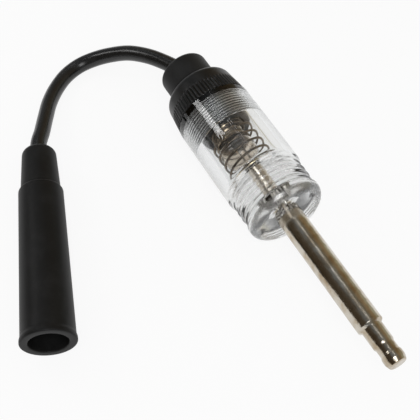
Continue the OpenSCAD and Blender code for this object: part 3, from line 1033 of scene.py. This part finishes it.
@dataclass
class Boot(SubAssembly):
    """The long rubber boot with its bores."""

    length: float = 67.2
    lip_d: float = 16.2
    lip_l: float = 1.6
    lip_edge: float = 0.5
    lip_flat: float = 0.6
    lip_fall: float = 1.5
    mouth_d: float = 15.6
    step_d: float = 13.7
    step_edge: float = 0.9
    neck_gap: float = 0.4
    neck_l: float = 15.6
    neck_d: float = 12.2
    top_d: float = 10.8
    top_edge: float = 2.4
    bore_d: float = 11.4
    bore_l: float = 34.0
    bore_edge: float = 0.35
    room_d: float = 9.4
    room_l: float = 38.9
    socket_bore_d: float = 8.3
    socket_end: float = 54.0
    lead_bore_r: float = 2.65

    def outline(self) -> list[Station]:
        """The closed outline, from the mouth over the outside and back through the bores.

        Returns:
            The outline.
        """
        lip_r, mouth_r, step_r, top_r = (d / 2 for d in (self.lip_d, self.mouth_d, self.step_d, self.top_d))
        edge, step_edge = self.lip_edge, self.step_edge
        lip, below = (lip_r, self.lip_l * self.lip_flat), (mouth_r, self.lip_l * self.lip_fall)
        outside = [*arc((lip_r - edge, edge), edge, -90, 0, 6), lip, *side(lip, below, 5, True)]
        step_x = self.length - self.neck_l - step_edge
        outside += side(below, (step_r, step_x), 12)
        outside += arc((step_r - step_edge, step_x), step_edge, 0, 80, 6)[1:]
        neck = (self.neck_d / 2, self.length - self.neck_l + self.neck_gap)
        top_x = self.length - self.top_edge
        outside += [neck, *side(neck, (top_r, top_x), 6)]
        outside += arc((top_r - self.top_edge, top_x), self.top_edge, 0, 90)[1:]
        bore_r, edge = self.bore_d / 2, self.bore_edge
        inside = wall(self.lead_bore_r, self.length, self.socket_end)
        inside += wall(self.socket_bore_d / 2, self.socket_end, self.room_l)
        inside += wall(self.room_d / 2, self.room_l, self.bore_l)
        inside += wall(bore_r, self.bore_l, *spaced(self.bore_l - 1, 1, 3))
        return outside + inside + arc((bore_r + edge, edge), edge, 180, 270, 4)

    def make(self) -> None:
        """Model the boot and dress it and its socket."""
        rubber = Moulding("boot_rubber", grey(0.008), grey(0.017), (0.42, 0.56), 0.4, 0.008, 0.0, 1.3)
        piece = self.layout.boot.turned("rubber_boot", self.outline(), 128, True)
        self.stand_in(piece, "boot", "boot_rubber", Body.CAP_AND_LEAD, rubber.material())
        brass = Plating("socket_brass", (0.72, 0.58, 0.3), (0.4, 0.3, 0.15), (0.2, 0.4))
        self.dress(brass, "boot_terminal", "contact_washer")
        self.dress(Plating("clip_steel", (0.5, 0.48, 0.45), (0.3, 0.25, 0.2), (0.2, 0.35)), "terminal_clip")
        self.dress(Plating("copper_strand", (0.72, 0.42, 0.26), (0.4, 0.2, 0.12), (0.3, 0.5)), "lead_core")


@dataclass
class Lamp(SubAssembly):
    """The screw-base lamp: glass, shell, stem, electrodes, insulator and contact."""

    contact_x: float = 2.25
    contact_l: float = 1.4
    insulator_l: float = 1.8
    shell_d: float = 9.5
    shell_l: float = 9.6
    shell_pitch: float = 1.81
    shell_wave: float = 0.2
    shell_wall: float = 0.3
    collar_l: float = 1.6
    glass_d: float = 11.6
    glass_l: float = 9.6
    glass_t: float = 0.5
    glass_dome: float = 0.85
    sunk_l: float = 4
    neck_l: float = 3.4
    neck_edge: float = 0.4
    swell_l: float = 2.8
    lean: float = 4.5
    lean_x: float = 6.0

    @property
    def axis(self) -> Axis:
        """The lamp's own axis: it leans a little in the narrow turns that hold it.

        Returns:
            The axis.
        """
        a = math.radians(self.lean)
        along = Vector((math.cos(a), -math.sin(a), 0))
        across = Vector((math.sin(a), math.cos(a), 0))
        return Axis(self.tester.at(self.lean_x) - self.lean_x * along, along, across)

    @property
    def shell_x(self) -> float:
        """Where the shell begins."""
        return self.contact_x + self.contact_l + self.insulator_l

    def shell_outline(self) -> list[Station]:
        """The shell's closed outline; its thread is cut as relief.

        Returns:
            The outline.
        """
        r = self.shell_d / 2
        end = self.shell_l
        outer = [(r - 0.4, 0.0), *wall(r - 0.2, *spaced(0.3, end - self.collar_l, 0.15))]
        outer += [(r - 0.25, end - 1.3), (r + 0.1, end - 1.0), (self.glass_d / 2 - 0.1, end)]
        inner = [(p[0] - self.shell_wall, p[1]) for p in reversed(outer[1:])]
        both = [*outer, *inner, (r - 0.7, 0.3), (1.0, 0.3), (1.0, 0.0)]
        return [(p[0], p[1] + self.shell_x) for p in both]

    def shell_thread(self, r: float, x: float, angle: float) -> float:
        """Roll the thread into the shell's wall.

        Args:
            r: radius of the plain outline.
            x: place along the axis.
            angle: angle in radians.

        Returns:
            The radius there.
        """
        place = x - self.shell_x
        if r < self.shell_d / 2 - 0.6 or place > self.shell_l - 1.5:
            return r
        wave = math.cos(TURN * (place / self.shell_pitch - angle / TURN))
        return r + self.shell_wave * wave * between(place, 0.2, self.shell_l - self.collar_l, 0.6)

    def glass_outline(self, inset: float) -> list[Station]:
        """The glass envelope's outline, drawn in by an inset.

        Args:
            inset: distance inside the glass's outer face.

        Returns:
            The outline.
        """
        neck_r = self.shell_d / 2 - 2 * self.shell_wave - self.shell_wall - 0.1 - inset
        r, edge = self.glass_d / 2 - inset, self.neck_edge
        dome = self.glass_dome * r
        base = self.shell_x + self.shell_l - self.sunk_l
        neck = [(0.0, inset), (neck_r - edge, inset), (neck_r, inset + edge), (neck_r, self.neck_l)]
        swell = side(neck[-1], (r, self.neck_l + self.swell_l), 8, True)
        end = self.glass_l + self.sunk_l - inset
        top = [(r * math.cos(math.radians(a)), end - dome + dome * math.sin(math.radians(a)))
               for a in range(0, 90, 6)]
        return [(p[0], p[1] + base) for p in [*neck, *swell, *top, (0.0, end)]]

    def make(self) -> None:
        """Model the lamp and dress it."""
        axis = self.axis
        shell = axis.turned("lamp_screw_shell", self.shell_outline(), 96, True, self.shell_thread)
        metal = Plating("lamp_shell_metal", (0.48, 0.42, 0.33), (0.2, 0.15, 0.1), (0.12, 0.25), 0.5)
        self.stand_in(shell, "lamp_shell", "lamp_shell_metal", Body.LAMP, metal.material())
        outer = axis.turned("lamp_envelope", self.glass_outline(0.0), 96)
        lining = axis.turned("lamp_lining", self.glass_outline(self.glass_t), 96)
        lining.data.flip_normals()
        # The glass's warm tint and brown smudges are partly its own smoke and partly painted shade: they
        # stand in for the tester's shadow on the table, seen through the chamber.
        glass = ClearMoulding("smoked_glass_painted_shade", (1.0, 0.95, 0.88), 1.5, (0.1, 0.24), 2.4, 0.02, 0.95,
                              (0.76, 0.62, 0.48), 0.35)
        self.stand_in(joined("lamp_envelope", [outer, lining]), "lamp_glass", "lamp_glass", Body.LAMP,
                      glass.material())
        self.dress(ClearMoulding("stem_glass", (0.75, 0.68, 0.6), 1.5, (0.1, 0.3)), "lamp_stem")
        self.dress(Plating("electrode_wire", (0.4, 0.38, 0.35), (0.2, 0.18, 0.15)), "lamp_electrodes")
        self.dress(Plating("solder", grey(0.6), grey(0.4), (0.3, 0.5)), "lamp_contact")
        self.dress(Moulding("black_glass", (0.01, 0.01, 0.012), grey(0.02), (0.1, 0.2)), "lamp_insulator")


@dataclass
class Spring(SubAssembly):
    """The open wound spring between lamp and chamber floor."""

    wire_d: float = 0.7
    neck_r: float = 5.42
    wide_r: float = 7.2
    neck_pitch: float = 1.25
    wide_pitch: float = 3.35
    first_x: float = 8.35
    front: float = 112.8
    neck_turns: float = 2.0
    start: float = -0.55
    end: float = 8.1
    widening_turns: float = 0.9
    pitch_blend: float = 0.1
    draw_in: float = 6.9
    drawing_turns: float = 0.5
    loop_r: float = 2.1
    rest_x: float = 27.9
    steps: int = 48

    def station(self, n: float) -> Vector:
        """The wire's middle after a number of turns from the first that faces up.

        Args:
            n: number of turns.

        Returns:
            The point.
        """
        over = n - self.neck_turns
        rise = self.first_x + self.neck_pitch * n
        wide = over + math.sqrt(over * over + self.pitch_blend)
        rise += (self.wide_pitch - self.neck_pitch) * wide / 2
        if n < self.draw_in:
            r = self.neck_r + (self.wide_r - self.neck_r) * smooth(over / self.widening_turns)
        else:
            drawn = smooth((n - self.draw_in) / self.drawing_turns)
            r = self.loop_r + (self.wide_r - self.loop_r) * (1 - drawn)
        angle = math.radians(self.front) + TURN * n
        return self.tester.at(min(rise, self.rest_x), r, angle)

    def make(self) -> None:
        """Wind the spring and dress it."""
        line = [self.station(n) for n in spaced(self.start, self.end, 1 / self.steps)]
        wire = swept("contact_spring", line, self.wire_d / 2, 14)
        steel = Plating("spring_steel", (0.19, 0.155, 0.12), (0.08, 0.06, 0.045), (0.15, 0.3), 0.45,
                        (1.0, 1.0, 1.0))
        self.stand_in(wire, "spring", "spring_steel", Body.BARREL, steel.material())


@dataclass
class Probe(SubAssembly):
    """The rod with its knurled root and snap terminal, and the screw that holds it."""

    rod_d: float = 8.0
    root_l: float = 7.4
    ribs: int = 30
    knurl_pitch: float = 1.0
    knurl_depth: float = 0.3
    grain_mm: float = 0.45
    grain_depth: float = 0.35
    # Size of the near-black patches on the root, which are painted shade.
    root_shade_patch_mm: float = 0.8
    plate_colour: Colour = (0.6, 0.56, 0.49)
    tarnish: Colour = (0.4, 0.32, 0.22)
    # The root's plate is painted near-white: painted light for the knurl seen lit through the acrylic.
    root_painted_light: Colour = (0.95, 0.93, 0.9)
    # Colour of the near-black patches at random on the root: painted shade between the lit facets of the
    # knurl.
    root_painted_shade: Colour = (0.04, 0.03, 0.02)
    chamfer: float = 0.7
    shaft_edge: float = 0.25
    terminal_d: float = 6.35
    foot_l: float = 5.7
    foot_edge: float = 0.15
    waist_d: float = 5.7
    waist_l: float = 2.3
    bulb_l: float = 3.3
    end_d: float = 5.5
    end_edge: float = 0.4
    slope: float = 0.5
    slope_blend: float = 0.1
    tap_r: float = 1.55
    tap_l: float = 7.0
    washer_x: float = 28.27
    washer_t: float = 0.5
    washer_d: float = 11.0
    head_seat: float = 0.8
    thread_pitch: float = 0.6
    thread_l: float = 8.6
    thread_sink: float = 0.1

    def outline(self) -> list[Station]:
        """The closed outline, from the tapped hole over the root and shaft to the tip.

        Returns:
            The outline.
        """
        r, root, edge = self.rod_d / 2, self.layout.barrel_l - self.root_l, self.shaft_edge
        shoulder = self.layout.shoulder
        chamfer_x = shoulder - self.chamfer
        hole = [(0.0, root + self.tap_l), *wall(self.tap_r, root + self.tap_l, root)]
        shaft = [(r - 0.3, root), *wall(r - 0.05, *spaced(root + 0.3, root + self.root_l, 0.2))]
        shaft += wall(r, *spaced(root + self.root_l + 0.05, chamfer_x - 0.15, 1.5))
        shaft += arc((r - edge, chamfer_x), edge, 0, 45, 3)
        return [*hole, *shaft, (r - self.chamfer, shoulder), *self.terminal_outline()]

    def terminal_outline(self) -> list[Station]:
        """The snap terminal's part of the outline: foot, waist and bulb.

        Returns:
            That part of the outline.
        """
        shoulder = self.layout.shoulder
        foot = shoulder + self.foot_l
        bulb = foot + 2 * self.slope + self.waist_l
        end = bulb + self.bulb_l
        tip_r, waist_r, edge, soft = self.terminal_d / 2, self.waist_d / 2, self.foot_edge, self.slope_blend
        tip = [(tip_r + edge, shoulder), (tip_r, shoulder + edge)]
        tip += wall(tip_r, *spaced(shoulder + edge + 0.3, foot - edge, 0.8))
        tip += [(tip_r - 0.06, foot), (waist_r + 0.04, foot + self.slope - soft)]
        tip += wall(waist_r, foot + self.slope + soft, bulb - self.slope - soft)
        tip += [(waist_r + 0.04, bulb - self.slope + soft), (tip_r - 0.1, bulb)]
        tip += [*wall(tip_r, bulb + 0.3, bulb + 0.5 * self.bulb_l), (tip_r - 0.06, bulb + 0.6 * self.bulb_l)]
        edge = self.end_edge
        return [*tip, *arc((self.end_d / 2 - edge, end - edge), edge, 10, 90, 6), (0.0, end)]

    def knurled(self, r: float, x: float, angle: float) -> float:
        """Press the root's knurl and its grain into the outline.

        Args:
            r: radius of the plain outline.
            x: place along the axis.
            angle: angle in radians.

        Returns:
            The radius there.
        """
        root = self.layout.barrel_l - self.root_l
        if x > root + self.root_l or r < self.rod_d / 2 - 0.4:
            return r
        lean = (x - root) / self.knurl_pitch
        left, right = (abs(2 * ((angle / TURN * self.ribs + way * lean) % 1.0) - 1) for way in (-1, 1))
        grain = noise.noise(Vector((math.cos(angle) * r, math.sin(angle) * r, x)) / self.grain_mm)
        return r - self.knurl_depth * (1 - min(left, right)) - self.grain_depth * (0.5 + 0.5 * grain)

    def nickel(self) -> Material:
        """Clouded nickel plate with drawn lines; the knurled root is painted near-white with near-black
        patches at random, painted light and painted shade for the sparkle of the knurl seen through the
        acrylic.

        Returns:
            The material.
        """
        s = Shader("nickel_plate")
        x = s.distance("X") + self.layout.shoulder
        root = 1.0 - x.above(self.layout.barrel_l - 0.1, 0.05)
        # Painted shade: near-black patches at random on the knurled root.
        painted_shade_patches = s.noise(self.root_shade_patch_mm, 1.0, 0.5).above(0.5, 0.05) * root
        cloud = s.noise(4.0, 4.0, 0.6)
        lines = s.noise(0.25, 2.0, 0.5, (0.04, 1.0, 1.0))
        plate = s.mixed(cloud.above(0.55, 0.2), self.plate_colour, self.tarnish)
        s.set(Base_Color=s.mixed(painted_shade_patches, s.mixed(root, plate, self.root_painted_light), self.root_painted_shade),
              Metallic=1.0, Roughness=0.1 + cloud * 0.1 + lines * 0.03,
              Normal=s.bump(lines * 0.2 + s.noise(0.9, 3.0, 0.6, (0.5, 1.0, 1.0)), 0.06))
        return s.material

    def make(self) -> None:
        """Model the rod and dress it, its screw and its washer."""
        rod = self.tester.turned("probe_rod", self.outline(), self.ribs * 8, False, self.knurled, 25.0)
        self.stand_in(rod, "rod", "rod_nickel", Body.BARREL, self.nickel())
        metal = Plating("screw_nickel", (0.74, 0.7, 0.63), (0.45, 0.38, 0.29), (0.1, 0.22), 0.45)
        screw = self.dress(metal, "rod_screw", "lead_screw")
        faces = (self.washer_x, self.washer_x + self.washer_t)
        ring = wall(self.washer_d / 2, *reversed(faces)) + wall(self.tap_r, *faces)
        brass = Plating("washer_brass", (0.7, 0.6, 0.42), (0.5, 0.38, 0.2), (0.2, 0.35))
        self.stand_in(self.tester.turned("floor_washer", ring, 96, True), "rod_washer", "washer_brass",
                      Body.BARREL, brass.material())
        helix = [self.tester.at(self.washer_x + self.head_seat + n * self.thread_pitch,
                                self.tap_r - self.thread_sink, TURN * n)
                 for n in spaced(0, self.thread_l / self.thread_pitch, 1 / 24)]
        self.stand_in(swept("screw_thread", helix, self.thread_pitch / 3, 6), None, "screw_nickel",
                      Body.BARREL, screw)


@dataclass(frozen=True)
class SoftBox:
    """A rectangular studio light.

    Attributes:
        name: name of the light.
        way: direction from the tester to the light.
        distance: its distance in millimetres.
        size: its short and long sides in millimetres.
        long_side: direction of its long side.
        radiance: brightness of its face, where 1 is white.
    """

    name: str
    way: Triple
    distance: float
    size: tuple[float, float]
    long_side: Triple
    radiance: float


@dataclass
class Studio:
    """The table, the lights and the camera of the photograph.

    Attributes:
        table_z: height of the table in millimetres.
        table_gap: how far the table's face is kept under the pieces.
        table_half: half the table's width.
        eye: camera position, from the barrel's rim.
        ahead: direction that the camera looks in.
        right: direction of the picture's right side.
        lens: focal length in millimetres.
        film: width of the frame in millimetres that goes with it.
        middle: the point that the lights face.
        glow_share: how white the table shows, the rest being its lit colour.
        dome: even light from all round that reaches matt surfaces.
        clear_share: how white the room shows through clear pieces.
        table_clear_share: share of that white where the table is seen through clear pieces.
        room: colours of the room, from one side of the tester over the top to the other.
        lamps: the lights.
    """

    layout: Layout
    table_z: float = -12.7
    table_gap: float = 0.02
    table_half: float = 3000.0
    eye: Triple = (156.66, -89.81, 214.3)
    ahead: Triple = (-0.4847, 0.2731, -0.831)
    right: Triple = (0.4909, 0.8712, 0.0)
    lens: float = 74.6
    film: float = 36.0
    middle: Triple = (-50.0, -20.0, 0.0)
    glow_share: float = 0.9
    dome: Colour = grey(0.52)
    clear_share: float = 0.25
    table_clear_share: float = 0.65
    room: tuple[tuple[float, Colour], ...] = (
        (0.1, (0.07, 0.055, 0.038)), (0.2, (0.09, 0.072, 0.053)), (0.3, (0.135, 0.14, 0.14)),
        (0.43, (0.24, 0.25, 0.26)), (0.555, (0.27, 0.27, 0.265)), (0.678, (0.19, 0.17, 0.12)),
        (0.79, (0.26, 0.19, 0.117)), (0.884, (0.30, 0.22, 0.12)), (0.95, (0.42, 0.40, 0.30)))
    lamps: tuple[SoftBox, ...] = (
        SoftBox("lead_light", (-0.66, -0.485, 0.575), 300.0, (52.0, 76.0), (0.0, 0.77, 0.64), 6.0),
        SoftBox("front_box", (0.6, -0.19, 0.85), 700.0, (260.0, 500.0), (0.8, 0.0, -0.6), 4.0),
        SoftBox("line_light", (-0.485, 0.067, 0.872), 800.0, (22.0, 700.0), (1.0, 0.0, 0.557), 2.4))

    @staticmethod
    def facing(right: Vector, back: Vector, spot: Vector) -> Matrix:
        """How a camera or light lies, from its right side, its back and its place in millimetres."""
        turn = Matrix((right, back.cross(right), back)).transposed().to_4x4()
        return Matrix.Translation(spot * MM) @ turn

    def place_camera(self) -> None:
        """Set the camera where the photograph was taken."""
        data = bpy.data.cameras.new("camera")
        data.lens = self.lens
        data.sensor_width = self.film
        data.clip_start = 0.01
        camera = linked("camera", data)
        camera.matrix_world = self.facing(Vector(self.right).normalized(), -Vector(self.ahead).normalized(),
                                          self.layout.place(Vector(self.eye)))
        bpy.context.scene.camera = camera

    def lay_table(self) -> None:
        """Lay a white table that keeps a soft shadow and shows white to the camera."""
        half, z = self.table_half, self.table_z - self.table_gap
        corners = [Vector((x, y, z)) for x, y in ((-half, -half), (half, -half), (half, half), (-half, half))]
        table = finished_mesh("table", corners, [(0, 1, 2, 3)])
        s = Shader("white_table")
        s.set(Base_Color=grey(0.86), Roughness=0.9)
        camera, mirror, clear = s.rays(Ray.CAMERA, Ray.MIRROR, Ray.CLEAR)
        seen = (camera + mirror * (1.0 - clear) + clear * self.table_clear_share).limited()
        glow = s.node("Emission", {}, {"Color": WHITE, "Strength": 1.0})
        s.show(s.node("MixShader", {}, {0: seen * self.glow_share,
                                        1: Value(s, s.principled.outputs["BSDF"]), 2: glow}))
        table.data.materials.append(s.material)

    def light(self, lamp: SoftBox) -> None:
        """Hang a rectangular light that faces the middle of the tester.

        Args:
            lamp: its name, place, size and strength.
        """
        data = bpy.data.lights.new(lamp.name, "AREA")
        data.shape = "RECTANGLE"
        data.size, data.size_y = (length * MM for length in lamp.size)
        data.energy = math.pi * data.size * data.size_y * lamp.radiance
        to_lamp = Vector(lamp.way).normalized()
        right = Vector(lamp.long_side).cross(to_lamp).normalized()
        place = Vector(self.middle) + lamp.distance * to_lamp
        linked(lamp.name, data).matrix_world = self.facing(right, to_lamp, place)

    def light_world(self) -> None:
        """Set a dim, warm room round the table, which shows white where it is seen itself."""
        s = Shader("room", True)
        way = s.node("TexCoord", {}, {}, "Generated")
        across = s.node("SeparateXYZ", {}, {0: way}, "Y") * 0.5 + 0.5
        walls = s.node("ValToRGB", {"stops": self.room}, {"Fac": across})
        camera, clear, matt = s.rays(Ray.CAMERA, Ray.CLEAR, Ray.MATT)
        seen = (camera + clear * self.clear_share).limited()
        shown = s.node("MixShader", {}, {0: seen, 1: s.background(walls), 2: s.background(WHITE)})
        s.show(s.node("MixShader", {}, {0: matt, 1: shown, 2: s.background(self.dome)}))
        bpy.context.scene.world = s.material

    def make(self) -> None:
        """Build the whole studio."""
        self.place_camera()
        self.lay_table()
        self.light_world()
        for lamp in self.lamps:
            self.light(lamp)
        bpy.context.scene.view_settings.view_transform = "Standard"


def main() -> None:
    """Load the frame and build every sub-assembly round it."""
    logging.basicConfig(level=logging.INFO, format="%(name)s: %(message)s")
    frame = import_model()
    layout = Layout()
    Studio(layout).make()
    nodes = frame["nodes"]
    groups = [Lead(layout, nodes), Boot(layout, nodes), Cap(layout, nodes), Barrel(layout, nodes),
              Lamp(layout, nodes), Spring(layout, nodes), Probe(layout, nodes)]
    for group in groups:
        group.make()
        LOG.info("%s: %s", type(group).__name__, ", ".join(group.pieces))


if __name__ == "__main__":
    main()
